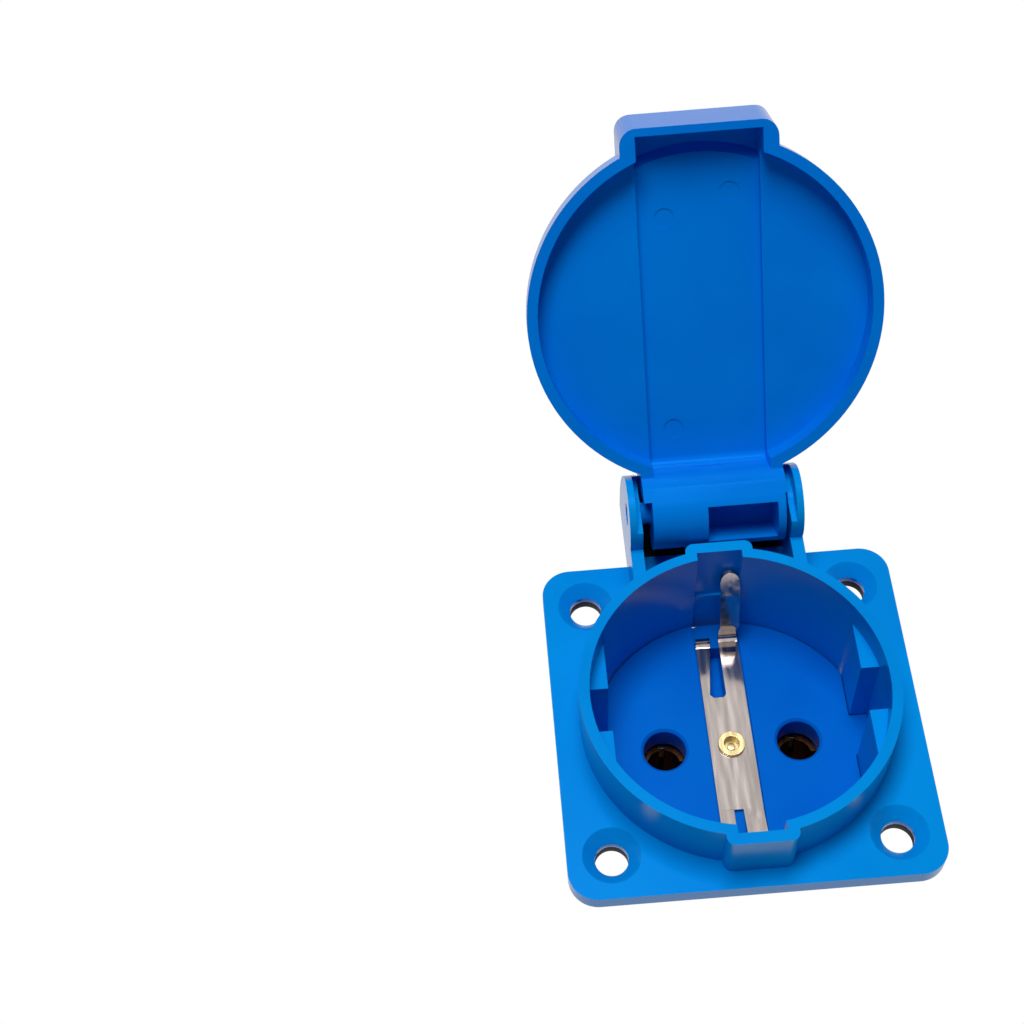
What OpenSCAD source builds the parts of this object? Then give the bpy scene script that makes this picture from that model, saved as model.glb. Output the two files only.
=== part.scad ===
// Panel socket with protective contacts and a hinged lid, for a round panel cut-out.
// Origin: on the socket's axis, in the plane of the panel (the back of the gasket).
// +Z points out of the panel, +Y towards the hinge, +X to the right. Millimetres.
// The lid is drawn open, at its stop.

/* [Flange] */
// Side of the square flange
flange_w = 50; // [48:0.5:60]
// Corner radius of the flange
flange_r = 4; // [2:0.5:6]
// Thickness of the flange
flange_t = 2.6; // [2.2:0.1:4]
// Distance between the fixing holes, both ways
bolt_pitch = 38; // [36:0.5:42]
// Diameter of the fixing holes
bolt_d = 4.5; // [3.6:0.1:5]
// Diameter of the countersinks
csk_d = 7.8; // [6:0.2:8.4]

/* [Collar and recess] */
// Bore of the recess that takes the plug
recess_d = 40.1; // [39:0.1:41]
// Depth of the recess, from the rim to its floor
recess_depth = 18.25; // [17:0.25:20]
// Wall of the collar
collar_wall = 1.45; // [1.2:0.05:2]
// Height of the collar above the flange
collar_h = 8.75; // [7.5:0.25:10]
// Width of the notches for the earth springs
notch_w = 6.3; // [5.6:0.1:7]
// How far a notch goes into the collar, past the bore
notch_depth = 0.95; // [0.6:0.05:1.3]
// Wall round a notch
notch_wall = 1.55; // [1.2:0.05:2]
// Corner radius of a notch's outside
notch_r = 1.2; // [0.6:0.1:1.5]

/* [Guide blocks] */
// Distance from the axis to the flat face of a guide block
block_x = 17.3; // [16.8:0.1:17.8]
// Width of the slot between two guide blocks
block_slot = 6.4; // [5.6:0.1:7]
// Height of the guide blocks above the flange
block_h = 4.5; // [2:0.25:6]

/* [Behind the panel] */
// Wall of the skirt that goes through the panel
skirt_wall = 1.25; // [1:0.05:1.4]
// Depth of the skirt behind the flange
skirt_h = 9; // [8:0.25:11]
// Thickness of the gasket
gasket_t = 1.5; // [1:0.1:2]
// How far the gasket stays inside the flange's edge
gasket_inset = 0.8; // [0.3:0.1:1.5]
// Thickness of the insert's floor plate
plate_t = 4.1; // [3.6:0.1:5]
// Width of the block behind the floor plate, along X
rear_w = 28; // [27.6:0.2:29]
// Length of the block behind the floor plate, along Y
rear_l = 26; // [25:0.5:27]
// Corner radius of the block behind the floor plate
rear_r = 2.5; // [1:0.5:4]
// Height of the insert's block, behind the floor plate
chamber_h = 10.5; // [10:0.25:13]
// Thickness of the rear cover
cover_t = 6; // [4:0.5:8]

/* [Contacts] */
// Distance between the pin apertures
pin_pitch = 19; // [18.6:0.1:19.4]
// Diameter of the pin apertures
aperture_d = 6; // [5.4:0.1:6.4]
// Diameter of a plug's pin
pin_d = 4.8; // [4:0.1:5]
// Thickness of the contact strip
strip_t = 0.7; // [0.5:0.05:0.9]
// Width of the terminal tails
tail_w = 4; // [3:0.1:4.2]
// Distance from the pins' line to the terminal screws
terminal_y = 8.4; // [8.2:0.1:8.8]
// Diameter of the terminal screws
screw_d = 2.9; // [2.4:0.1:3]

/* [Earth strip] */
// Width of the earth strip
earth_w = 6.2; // [5.6:0.1:6.4]
// Thickness of the earth strip
earth_t = 0.6; // [0.4:0.05:0.8]
// Length of the straight upper part of a sprung tongue
tip_l = 10.5; // [8:0.25:11]
// Width of the slit between a sprung tongue and its neighbour
slit_w = 1.3; // [0.8:0.1:1.6]
// Length of that slit
slit_l = 6.5; // [5:0.5:8]
// Diameter of the rivet's head
rivet_d = 3.8; // [3.4:0.1:4]

/* [Hinge] */
// Radius of the lid's barrel
barrel_r = 5.3; // [4.6:0.1:5.4]
// Height of the hinge axis above the flange
hinge_h = 8.7; // [8.4:0.1:10]
// Gap between the notch and the barrel
hinge_gap = 0.55; // [0.5:0.05:1.6]
// Distance between the ears
ear_gap = 20.8; // [20.8:0.1:22]
// Thickness of an ear
ear_t = 1.8; // [1.4:0.1:2.4]
// Radius of the ears round the hinge
ear_r = 5.3; // [4.8:0.1:5.8]
// Height of the ears' forward walls above the flange
ear_ledge = 7.4; // [5:0.1:7.4]
// Depth of the snap-in recess in the ears' upper inner faces
ear_recess = 0.8; // [0.3:0.1:1]
// Radius of the hood's back
hood_r = 18; // [16:0.5:20]
// Wall of the hood's back
hood_wall = 1.8; // [1.4:0.1:2.4]
// Diameter of the trunnions
trunnion_d = 3.1; // [2.6:0.1:3.4]

/* [Lid] */
// Outer diameter of the lid
lid_d = 48.8; // [48:0.1:49.6]
// Wall of the lid's rim
lid_wall = 1.5; // [1.2:0.05:1.5]
// Height of the lid's round part
lid_h = 5; // [4.6:0.1:6]
// Thickness of the lid's round part
lid_skin = 1.5; // [1.2:0.05:2]
// Depth of the lid's rim below the hinge axis, when closed
lid_drop = 1.2; // [0.9:0.05:1.2]
// Width of the strap
strap_w = 20; // [19:0.1:20]
// Height of the strap above the lid's rim
strap_h = 7.8; // [7:0.1:8.4]
// Wall at each side of the strap
strap_wall = 1.7; // [1.4:0.05:2]
// Thickness of the strap's face
strap_skin = 2.9; // [2.4:0.05:3.2]
// Thickness of the face behind the finger tab's hollow
tab_skin = 1.7; // [1.4:0.05:2]
// Width of the finger tab
tab_w = 21.2; // [20.2:0.1:22]
// How far the finger tab stands past the lid's round part
tab_l = 2.4; // [1.6:0.1:4]
// Angle between the closed and the open lid
open_angle = 127; // [110:1:130]

/* [Hidden] */
$fn = 96;

// Colours
blue = "#0080D8";
deep_blue = "#0062C8";
black = "#202226";
brass = "#C8A860";
nickel = "#C8C4C0";
steel = "#A8ACB0";

// Clearances
cut = 1;          // a cutting tool runs this far past a face
fit_gap = 0.1;    // between fixed pieces that fit into each other
run_gap = 0.05;   // round a trunnion
thread_gap = 0.04; // between a screw and its hole
swing_gap = 0.3;  // between the open lid and its stop
side_gap = 0.7;   // between the barrel's right end and its ear
side_gap_left = 1.5;

// Heights
flange_top = gasket_t + flange_t;
rim_z = flange_top + collar_h;
floor_z = rim_z - recess_depth;
skirt_z = gasket_t - skirt_h;
plate_z = floor_z - plate_t;
cover_z = plate_z - chamber_h;
back_z = cover_z - cover_t;

// Radii and reaches
recess_r = recess_d / 2;
collar_r = recess_r + collar_wall;
skirt_r = recess_r + skirt_wall;
notch_in = recess_r + notch_depth;
notch_out = notch_in + notch_wall;
slot_end = 0.7;     // from the strip slots' ends to the skirt's outside
slot_y = skirt_r - slot_end;
block_y = sqrt(recess_r * recess_r - block_x * block_x);

// Hinge and hood
hinge_y = notch_out + hinge_gap + barrel_r;
hinge_z = flange_top + hinge_h;
ear_in = ear_gap / 2;
ear_out = ear_in + ear_t;
ear_root = 1;      // the ears start this far inside the collar's outside
ear_front = sqrt(collar_r * collar_r - ear_out * ear_out) - ear_root;
ear_ledge_z = flange_top + ear_ledge;
ledge_angle = asin((hinge_z - ear_ledge_z) / ear_r);
hood_c = [hinge_y - (hood_r - ear_r) * cos(45), hinge_z - (hood_r - ear_r) * sin(45)];
hood_back = hood_c[0] + hood_r;
trunnion_r = trunnion_d / 2;
boss_wall = 1.15;
ear_step = 2.2;    // the recess starts this far above the hinge axis
boss_r = trunnion_r + boss_wall;

// Lid, closed, measured from the hinge axis: v towards the tab, z out of the lid
lid_r = lid_d / 2;
lid_edge_r = 1.6;
strap_top = strap_h - lid_drop;
ramp_v = 7.9;
ramp_tangent = atan2(strap_top, -ramp_v) - acos(barrel_r / norm([ramp_v, strap_top]));
arm_angle = 57;
channel_v = hinge_y - notch_out - 0.2;   // clears the collar as the lid swings
channel_bend = 1.3;
swing_angle = arm_angle - acos(barrel_r / channel_v);
neck_angle = asin(lid_drop / channel_v);
channel_w = strap_w - 2 * strap_wall;
channel_taper = 0.4;
tab_v = hinge_y + lid_r + tab_l;
tab_slant = 7.5;   // degrees
tab_wall = 1.35;
tab_r = 2.3;
barrel_v = 3;
field_side = 1.7;
field_w = channel_w - 2 * field_side;
field_depth = 0.6;
field_end = 7;
field_start = 12;
tab_slope = 0.9;   // the tab's end leans this far at the lid's rim
slope_r = lid_r - lid_wall - 1.6;
pocket_x = [-1.2, 8.6];
pocket_v = [-3.6, 1.9];
pocket_depth = 7.6;
trunnion_end = 0.4;
trunnion_root = 0.4;
ejector_xv = [[-4.6, 11], [-4.6, 41], [4.4, 44]];
dimple_r = 1.4;
dimple_depth = 0.12;
ledge_l = 1.4;

edge_r = 1.2;
tab_grip = 4.8;

// Insert and its screws
block_root = 0.4;  // the blocks and lugs run this far into the wall behind them
lug_y = block_y + block_root;
screw_in = 2;
screw_xy = [(block_x + skirt_r - 2 * block_root) / 2, block_slot / 2 + screw_in];
screw_tip = 0.5;   // room past a screw's end
screw_grip = 6;
strip_side = 0.2;
aperture_edge = 0.4;
chamber_gap = 0.8;  // round a sleeve
chamber_r = pin_d / 2 + strip_t + chamber_gap;

// Terminals, in bays that open to the rear
bay_w = 7;
bay_wall = 1;
bay_in = rear_l / 2 - bay_wall - terminal_y;
cage = [6, 6, 6.8];
cage_roof = 1;     // the clamp's wall above its window
cage_gap = 0.4;    // between the clamp and its bay
bay_l = bay_in + cage[1] / 2 + cage_gap;
tail_slot = tail_w + 0.6;
tail_z = plate_z - strip_t - 1.4;
tail_past = 2.8;   // the tails end this far past their screws
tail_end = terminal_y + tail_past;
cage_z = tail_z + cage_roof;
window = [tail_w + 0.4, 3.8];
wire_d = 3.9;
wire_z = tail_z - (window[1] + strip_t) / 2;
screw_l = 4;
head_d = 4.8;
head_h = 1.8;
head_slot = 0.8;
head_gap = 0.3;    // between a screw's head and its clamp
driver_d = 3.9;

// Sleeves and their clips
sleeve_room = 1;   // between a sleeve and the floor plate
sleeve_h = chamber_h - sleeve_room;
sleeve_slot = 0.8;
clip_t = 0.5;
clip_h = 3;
clip_z = cover_z + (chamber_h + strip_t) / 2;

// Earth
rivet_r = 1.5;
rivet_wall = 0.4;
rivet_head = 0.5;
bend_r = 1.4;
tip_room = 4.6;    // from the bend's start to the notch's back
flat_y = notch_in - tip_room;
knee_h = 3;
knee_angle = 40;
tip_lean = 15;
stop_r = 1.4;
overlap = 0.5;
slit_x = 0.3;
bracket_past = 1.6;
bracket_y = rivet_d / 2 + bracket_past;

// Small screws
cover_screw_xy = [8, 8.6];
cover_grip = 6;
small_d = 2;
small_head_d = 3.4;
small_head_h = 1.5;
cross_slot = 0.6;

// ---- Helpers ----

// Points of an arc round c, from angle a0 to a1
function arc(c, r, a0, a1, n = 12) =
    [for (i = [0 : n]) let (a = a0 + (a1 - a0) * i / n) [c[0] + r * cos(a), c[1] + r * sin(a)]];

// A rectangle round the origin with round corners
module round_rect(w, l, r) {
    square([w - 2 * r, l], center = true);
    square([w, l - 2 * r], center = true);
    for (x = [-1, 1], y = [-1, 1])
        translate([x * (w / 2 - r), y * (l / 2 - r)]) circle(r);
}

// An outline in the YZ plane, extruded along X from x0 to x1
module along_x(x0, x1) {
    translate([x0, 0, 0]) rotate([90, 0, 90]) linear_extrude(x1 - x0) children();
}

module both_sides() {
    children();
    mirror([1, 0, 0]) children();
}

module at_bolts() {
    for (x = [-1, 1], y = [-1, 1])
        translate([x * bolt_pitch / 2, y * bolt_pitch / 2, 0]) children();
}

// ---- Housing ----

module flange_plate() {
    translate([0, 0, gasket_t]) linear_extrude(flange_t) {
        round_rect(flange_w, flange_w, flange_r);
        translate([-ear_in - ear_t / 2, 0]) square([2 * ear_in + ear_t, flange_w / 2 + ledge_l]);
    }
}

module bolt_hole() {
    translate([0, 0, -cut]) cylinder(d = bolt_d, h = flange_top + 2 * cut);
    translate([0, 0, flange_top - (csk_d - bolt_d) / 2])
        cylinder(d1 = bolt_d, d2 = csk_d, h = (csk_d - bolt_d) / 2);
    translate([0, 0, flange_top]) cylinder(d = csk_d, h = cut);
}

// The collar's outside: a round wall with a bump round each notch
module collar_body() {
    translate([0, 0, gasket_t]) linear_extrude(rim_z - gasket_t) {
        circle(collar_r);
        round_rect(notch_w + 2 * notch_wall, 2 * notch_out, notch_r);
    }
    translate([0, 0, skirt_z]) cylinder(r = skirt_r, h = flange_top - skirt_z);
}

module recess_cut() {
    translate([0, 0, skirt_z - cut]) cylinder(r = recess_r, h = rim_z - skirt_z + 2 * cut);
    translate([-notch_w / 2, -notch_in, gasket_t]) cube([notch_w, 2 * notch_in, rim_z]);
    translate([-notch_w / 2, -slot_y, skirt_z - cut])
        cube([notch_w, 2 * slot_y, gasket_t - skirt_z + 2 * cut]);
}

// Guide blocks at three and nine o'clock; their feet key the insert
module guide_blocks(grow = 0, top = flange_top + block_h) {
    intersection() {
        translate([0, 0, skirt_z]) cylinder(r = recess_r + block_root, h = top - skirt_z);
        for (x = [-1, 1], y = [-1, 1])
            translate([x * (block_x - grow + skirt_r) / 2, y * (block_slot + 2 * block_y) / 4, skirt_z])
                linear_extrude(top - skirt_z)
                    square([skirt_r - block_x + grow, block_y - block_slot / 2 + 2 * grow], center = true);
    }
}

// The insert's two screws, in guide blocks at opposite corners
module at_insert_screws() {
    for (s = [-1, 1]) translate([s * screw_xy[0], s * screw_xy[1], 0]) children();
}

// Side outline of the hood and its ears
module hood_outline() {
    polygon(concat(
        [[ear_front, gasket_t], [hood_back, gasket_t]],
        arc(hood_c, hood_r, 0, 45, 15),
        arc([hinge_y, hinge_z], ear_r, 51, 180 + ledge_angle, 24),
        [[ear_front, ear_ledge_z]]));
}

// The back of the hood, up to the edge that stops the open lid
module hood_wall_outline() {
    inner_r = hood_r - hood_wall;
    difference() {
        polygon(concat(
            [[hood_back - hood_wall, gasket_t], [hood_back, gasket_t]],
            arc(hood_c, hood_r, 0, 44, 15),
            arc(hood_c, inner_r, 44, 0, 15)));
        translate([hinge_y, hinge_z]) rotate(90 - open_angle + ramp_tangent)
            translate([-hood_r, -barrel_r - swing_gap]) square(2 * hood_r);
    }
}

module ear() {
    difference() {
        along_x(ear_in, ear_out) hood_outline();
        along_x(ear_in - cut, ear_in + ear_recess) difference() {
            translate([hinge_y - ear_r - cut, hinge_z + ear_step]) square([2 * ear_r, 2 * ear_r]);
            translate([hinge_y, hinge_z]) circle(boss_r);
        }
    }
}

module hood() {
    both_sides() ear();
    along_x(-ear_in - ear_t / 2, ear_in + ear_t / 2) hood_wall_outline();
}

module housing() {
    color(blue) difference() {
        union() {
            difference() {
                union() {
                    flange_plate();
                    collar_body();
                    hood();
                }
                recess_cut();
            }
            guide_blocks();
        }
        at_bolts() bolt_hole();
        translate([-ear_out - cut, hinge_y, hinge_z]) rotate([0, 90, 0])
            cylinder(r = trunnion_r + run_gap, h = 2 * (ear_out + cut));
        at_insert_screws() translate([0, 0, skirt_z - cut])
            cylinder(d = small_d + 2 * thread_gap, h = cut + screw_grip + screw_tip);
    }
}

// ---- Lid, drawn closed round the hinge axis, then swung open ----

// Side outline of the strap with its barrel and tab
module strap_outline() {
    polygon(concat(
        arc([0, 0], barrel_r, ramp_tangent, arm_angle - 180, 40),
        arc([0, 0], channel_v, swing_angle - 180, neck_angle - 180, 10),
        [[-tab_v, -lid_drop]],
        arc([-tab_v + edge_r, strap_top - edge_r], edge_r, 180, 90, 6),
        [[-ramp_v, strap_top]]));
}

// Plan of the strap up to the tab; its barrel fits between the ears
module strap_plan() {
    translate([-ear_in + side_gap_left, -barrel_v - cut])
        square([2 * ear_in - side_gap - side_gap_left, barrel_r + barrel_v + 2 * cut]);
    translate([-strap_w / 2, -tab_v + tab_grip]) square([strap_w, tab_v - tab_grip - barrel_v]);
}

// The finger tab: a rounded block whose end leans outwards
module tab_block() {
    translate([0, -tab_v + edge_r / 4, strap_top - edge_r]) rotate([tab_slant, 0, 0])
        translate([0, tab_grip, -strap_top - barrel_r]) linear_extrude(2 * strap_top + barrel_r) {
            square([tab_w - 2 * tab_r, 2 * tab_grip], center = true);
            translate([0, tab_r / 2]) square([tab_w, 2 * tab_grip - tab_r], center = true);
            for (x = [-1, 1]) translate([x * (tab_w / 2 - tab_r), tab_r - tab_grip]) circle(tab_r);
        }
}

module lid_disc() {
    translate([0, -hinge_y, -lid_drop]) rotate_extrude() {
        square([lid_r - lid_edge_r, lid_h]);
        square([lid_r, lid_h - lid_edge_r]);
        translate([lid_r - lid_edge_r, lid_h - lid_edge_r]) circle(lid_edge_r);
    }
}

// Plan of the strap's hollow, a little wider towards the tab
module channel_plan(end) {
    half = channel_w / 2;
    near = channel_v / 2;
    polygon([[-half, -near], [-half - channel_taper / 2, -end],
             [half + channel_taper / 2, -end], [half, -near]]);
}

// Side outline of the hollow: its end runs round the hinge, its floor rises in a large arc
module channel_outline() {
    top = strap_top - strap_skin;
    polygon(concat(
        [[-tab_v, -lid_drop - barrel_r], [-channel_v / 2, -lid_drop - barrel_r]],
        arc([0, 0], channel_v, 235, 180, 10),
        arc([-channel_v - channel_bend, top - channel_bend], channel_bend, 0, 90, 12),
        [[-tab_v, top]]));
}

// The hollow is deeper in the tab, past a slope that follows the lid's edge
module channel_cut() {
    end = tab_v - tab_wall - tab_slope;
    step = strap_skin - tab_skin;
    intersection() {
        translate([0, 0, -lid_drop - barrel_r]) linear_extrude(strap_top + barrel_r) channel_plan(end);
        along_x(-strap_w, strap_w) channel_outline();
    }
    translate([0, 0, strap_top - strap_skin - cut]) difference() {
        linear_extrude(step + cut) intersection() {
            channel_plan(end);
            translate([-strap_w, -tab_v]) square([2 * strap_w, lid_r]);
        }
        translate([0, -hinge_y, -cut])
            cylinder(r1 = slope_r - 2 * cut, r2 = slope_r + step + cut, h = step + 3 * cut);
    }
}

// Shallow marks of the mould's ejector pins on the hollow's floor
module ejector_marks() {
    for (xv = ejector_xv)
        translate([xv[0], -xv[1], strap_top - strap_skin - cut])
            cylinder(r = dimple_r, h = cut + dimple_depth);
}

module closed_lid() {
    difference() {
        union() {
            lid_disc();
            intersection() {
                along_x(-tab_w, tab_w) strap_outline();
                union() {
                    translate([0, 0, -barrel_r - cut])
                        linear_extrude(barrel_r + strap_top + 2 * cut) strap_plan();
                    tab_block();
                }
            }
        }
        translate([0, -hinge_y, -lid_drop - cut])
            cylinder(r = lid_r - lid_wall, h = lid_h - lid_skin + cut);
        channel_cut();
        ejector_marks();
        translate([-field_w / 2, -tab_v + field_end, strap_top - field_depth])
            cube([field_w, tab_v - field_end - field_start, field_depth + cut]);
        translate([pocket_x[0], -pocket_v[1], -barrel_r - cut])
            cube([pocket_x[1] - pocket_x[0], pocket_v[1] - pocket_v[0], pocket_depth + cut]);
    }
    for (s = [-1, 1]) translate([s * (ear_out - trunnion_end), 0, 0]) rotate([0, -90 * s, 0])
        cylinder(r = trunnion_r, h = ear_t - trunnion_end + side_gap_left + trunnion_root);
}

module lid() {
    color(blue) translate([0, hinge_y, hinge_z]) rotate([-open_angle, 0, 0]) closed_lid();
}

// ---- Gasket ----

module panel_gasket() {
    side = flange_w - 2 * gasket_inset;
    color(black) linear_extrude(gasket_t) difference() {
        union() {
            round_rect(side, side, flange_r - gasket_inset);
            translate([-ear_out + gasket_inset, 0])
                square([2 * ear_out - 2 * gasket_inset, hood_back - gasket_inset]);
        }
        circle(skirt_r + fit_gap);
        at_bolts() circle(d = bolt_d);
    }
}

// ---- Insert and rear cover ----

module rear_outline() {
    round_rect(rear_w, rear_l, rear_r);
}

module at_pins() {
    for (x = [-1, 1]) translate([x * pin_pitch / 2, 0, 0]) children();
}

module at_terminals() {
    for (x = [-1, 0, 1]) translate([x * pin_pitch / 2, -terminal_y, 0]) children();
}

module at_cover_screws() {
    for (x = [-1, 1]) translate([x * cover_screw_xy[0], cover_screw_xy[1], 0]) children();
}

module socket_insert() {
    color(deep_blue) difference() {
        union() {
            difference() {
                translate([0, 0, plate_z]) cylinder(r = recess_r - fit_gap, h = plate_t);
                guide_blocks(grow = fit_gap, top = floor_z + cut);
            }
            translate([0, 0, plate_z]) intersection() {
                cylinder(r = skirt_r, h = skirt_z - plate_z);
                translate([-skirt_r, -lug_y, 0]) cube([2 * skirt_r, 2 * lug_y, skirt_z - plate_z]);
            }
            translate([0, 0, cover_z]) linear_extrude(chamber_h) rear_outline();
        }
        translate([-earth_w / 2 - strip_side, -recess_r, floor_z - earth_t])
            cube([earth_w + 2 * strip_side, 2 * recess_r, earth_t + cut]);
        at_pins() {
            translate([0, 0, plate_z - cut]) cylinder(d = aperture_d, h = plate_t + 2 * cut);
            translate([0, 0, floor_z - aperture_edge])
                cylinder(d1 = aperture_d, d2 = aperture_d + 2 * aperture_edge, h = aperture_edge);
            translate([0, 0, cover_z - cut]) cylinder(r = chamber_r, h = plate_z - cover_z + cut);
        }
        at_terminals() {
            translate([-bay_w / 2, -bay_in, cover_z - cut])
                cube([bay_w, bay_l, plate_z - cover_z + cut]);
            translate([0, -bay_in - cut, wire_z]) rotate([-90, 0, 0]) translate([0, 0, -bay_wall - cut])
                cylinder(d = wire_d, h = bay_wall + 3 * cut);
        }
        at_pins() translate([-tail_slot / 2, -terminal_y, cover_z - cut])
            cube([tail_slot, terminal_y, plate_z - cover_z + cut]);
        translate([-bay_w / 2, -terminal_y, cover_z - cut])
            cube([bay_w, terminal_y + tail_slot / 2, plate_z - cover_z + cut]);
        translate([0, 0, plate_z - cut]) cylinder(r = rivet_r + fit_gap, h = plate_t + 2 * cut);
        at_insert_screws() translate([0, 0, plate_z - cut])
            cylinder(d = small_d + 2 * fit_gap, h = plate_t + 2 * cut);
        at_cover_screws() translate([0, 0, cover_z - cut])
            cylinder(d = small_d + 2 * thread_gap, h = cover_grip + cut);
    }
}

module rear_cover() {
    color(black) difference() {
        translate([0, 0, back_z]) linear_extrude(cover_t) rear_outline();
        at_terminals() translate([0, 0, back_z - cut]) cylinder(d = driver_d, h = cover_t + 2 * cut);
        at_cover_screws() {
            translate([0, 0, back_z - cut]) cylinder(d = small_d + 2 * fit_gap, h = cover_t + 2 * cut);
            translate([0, 0, back_z - cut])
                cylinder(d = small_head_d + 4 * fit_gap, h = small_head_h + fit_gap + cut);
        }
    }
}

// ---- Contacts and terminals ----

// A stamped contact: a split sleeve, a back strip and the tail to its clamp
module contact() {
    sleeve_r = pin_d / 2 + strip_t;
    back_y = sleeve_r;
    difference() {
        union() {
            translate([0, 0, cover_z]) cylinder(r = sleeve_r, h = sleeve_h);
            translate([-tail_w / 2, -back_y - strip_t / 2, cover_z])
                cube([tail_w, strip_t, tail_z - cover_z]);
        }
        translate([0, 0, cover_z + strip_t]) cylinder(d = pin_d, h = sleeve_h + cut);
        for (a = [0, 90]) rotate(a) translate([-sleeve_r - cut, -sleeve_slot / 2, cover_z + 2 * strip_t])
            cube([2 * sleeve_r + 2 * cut, sleeve_slot, sleeve_h]);
    }
    translate([-tail_w / 2, -tail_end, tail_z - strip_t])
        cube([tail_w, tail_end - back_y + strip_t / 2, strip_t]);
}

// A clip that presses the sleeve together
module spring() {
    inner = pin_d / 2 + strip_t + thread_gap;
    translate([0, 0, clip_z]) linear_extrude(clip_h) difference() {
        circle(inner + clip_t);
        circle(inner);
        translate([-tail_w / 2 - fit_gap, -2 * inner]) square([tail_w + 2 * fit_gap, 2 * inner]);
    }
}

// A box clamp with a window for the tail and the wire, and a threaded hole
module clamp() {
    difference() {
        translate([-cage[0] / 2, -cage[1] / 2, cage_z - cage[2]]) cube(cage);
        translate([-window[0] / 2, -cage[1] / 2 - cut, tail_z - window[1]])
            cube([window[0], cage[1] + 2 * cut, window[1]]);
        translate([0, 0, cage_z - cage[2] - cut])
            cylinder(d = screw_d + 2 * thread_gap, h = cage[2] - window[1]);
    }
}

// A terminal screw, its slotted head towards the rear
module clamp_screw() {
    head_z = cage_z - cage[2] - head_gap - head_h;
    difference() {
        union() {
            translate([0, 0, head_z]) cylinder(d = head_d, h = head_h);
            translate([0, 0, head_z]) cylinder(d = screw_d, h = head_h + screw_l);
        }
        translate([-head_d, -head_slot / 2, head_z - cut]) cube([2 * head_d, head_slot, head_h / 2 + cut]);
    }
}

module line_side() { translate([pin_pitch / 2, 0, 0]) children(); }
module neutral_side() { translate([-pin_pitch / 2, 0, 0]) children(); }
module at_clamp() { translate([0, -terminal_y, 0]) children(); }

module line_contact() { color(brass) line_side() contact(); }
module neutral_contact() { color(brass) neutral_side() contact(); }
module line_spring() { color(steel) line_side() spring(); }
module neutral_spring() { color(steel) neutral_side() spring(); }
module line_clamp() { color(nickel) line_side() at_clamp() clamp(); }
module neutral_clamp() { color(nickel) neutral_side() at_clamp() clamp(); }
module earth_clamp() { color(nickel) at_clamp() clamp(); }
module line_screw() { color(steel) line_side() at_clamp() clamp_screw(); }
module neutral_screw() { color(steel) neutral_side() at_clamp() clamp_screw(); }
module earth_screw() { color(steel) at_clamp() clamp_screw(); }

// ---- Earth ----

// Offsets a line of points to its left by t
function beside(p, t) = [for (i = [0 : len(p) - 1])
    let (d = p[min(i + 1, len(p) - 1)] - p[max(i - 1, 0)]) p[i] + t / norm(d) * [-d[1], d[0]]];

// Side line of a sprung tongue: up from the floor, a knee towards the plug, a leaning tip
function spring_line() = let (
        z0 = floor_z - earth_t,
        c_knee = [flat_y, z0 + knee_h],
        c_back = c_knee + 2 * bend_r * [cos(knee_angle), sin(knee_angle)],
        foot = c_back + bend_r * [cos(180 - tip_lean), sin(180 - tip_lean)])
    concat([[flat_y - slit_l, z0]],
        arc([flat_y, z0 + bend_r], bend_r, -90, 0, 8),
        arc(c_knee, bend_r, 0, knee_angle, 6),
        arc(c_back, bend_r, 180 + knee_angle, 180 - tip_lean, 8),
        [foot + tip_l * [sin(tip_lean), cos(tip_lean)]]);

// Side line of the short tongue beside it
function stop_line() = let (z0 = floor_z - earth_t)
    concat([[flat_y - slit_l, z0]],
        arc([flat_y - stop_r / 2, z0 + stop_r], stop_r, -90, -8, 8));

module bent_strip(line) {
    far = beside(line, earth_t);
    polygon(concat(line, [for (i = [len(far) - 1 : -1 : 0]) far[i]]));
}

// A sprung tongue, its tip rounded
module sprung_tongue() {
    tip_z = floor_z + knee_h + tip_l;
    tip_w = earth_w / 2 - slit_x;
    intersection() {
        along_x(slit_x, earth_w / 2) bent_strip(spring_line());
        rotate([90, 0, 0]) linear_extrude(2 * notch_out, center = true) {
            translate([slit_x, floor_z - cut]) square([tip_w, tip_z - floor_z + cut - tip_w / 2]);
            translate([slit_x + tip_w / 2, tip_z - tip_w / 2]) circle(d = tip_w);
        }
    }
}

module earth_strip() {
    color(nickel) difference() {
        union() {
            translate([-earth_w / 2, -flat_y + slit_l, floor_z - earth_t])
                cube([earth_w, 2 * (flat_y - slit_l), earth_t]);
            for (s = [0, 1]) mirror([0, s, 0]) {
                translate([slit_x, flat_y - slit_l - overlap, floor_z - earth_t])
                    cube([earth_w / 2 - slit_x, slit_l, earth_t]);
                sprung_tongue();
            }
            translate([-earth_w / 2, 0, 0])
                along_x(0, earth_w / 2 + slit_x - slit_w) bent_strip(stop_line());
            translate([-earth_w / 2, flat_y - slit_l - overlap, floor_z - earth_t])
                cube([earth_w / 2 + slit_x - slit_w, 2 * overlap, earth_t]);
            translate([-earth_w / 2, -slot_y + fit_gap, floor_z - earth_t])
                cube([earth_w / 2 + slit_x - slit_w, slot_y, earth_t]);
        }
        translate([0, 0, floor_z - earth_t - cut])
            cylinder(r = rivet_r + fit_gap / 2, h = earth_t + 2 * cut);
    }
}

// Tubular rivet through strip, floor plate and bracket
module earth_rivet() {
    foot_z = plate_z - strip_t - rivet_head;
    color(brass) difference() {
        union() {
            translate([0, 0, floor_z]) cylinder(d = rivet_d, h = rivet_head);
            translate([0, 0, foot_z]) cylinder(r = rivet_r, h = floor_z + rivet_head - foot_z);
            translate([0, 0, foot_z]) cylinder(d = rivet_d, h = rivet_head);
        }
        translate([0, 0, back_z]) cylinder(r = rivet_r - rivet_wall, h = rim_z - back_z);
    }
}

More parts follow.
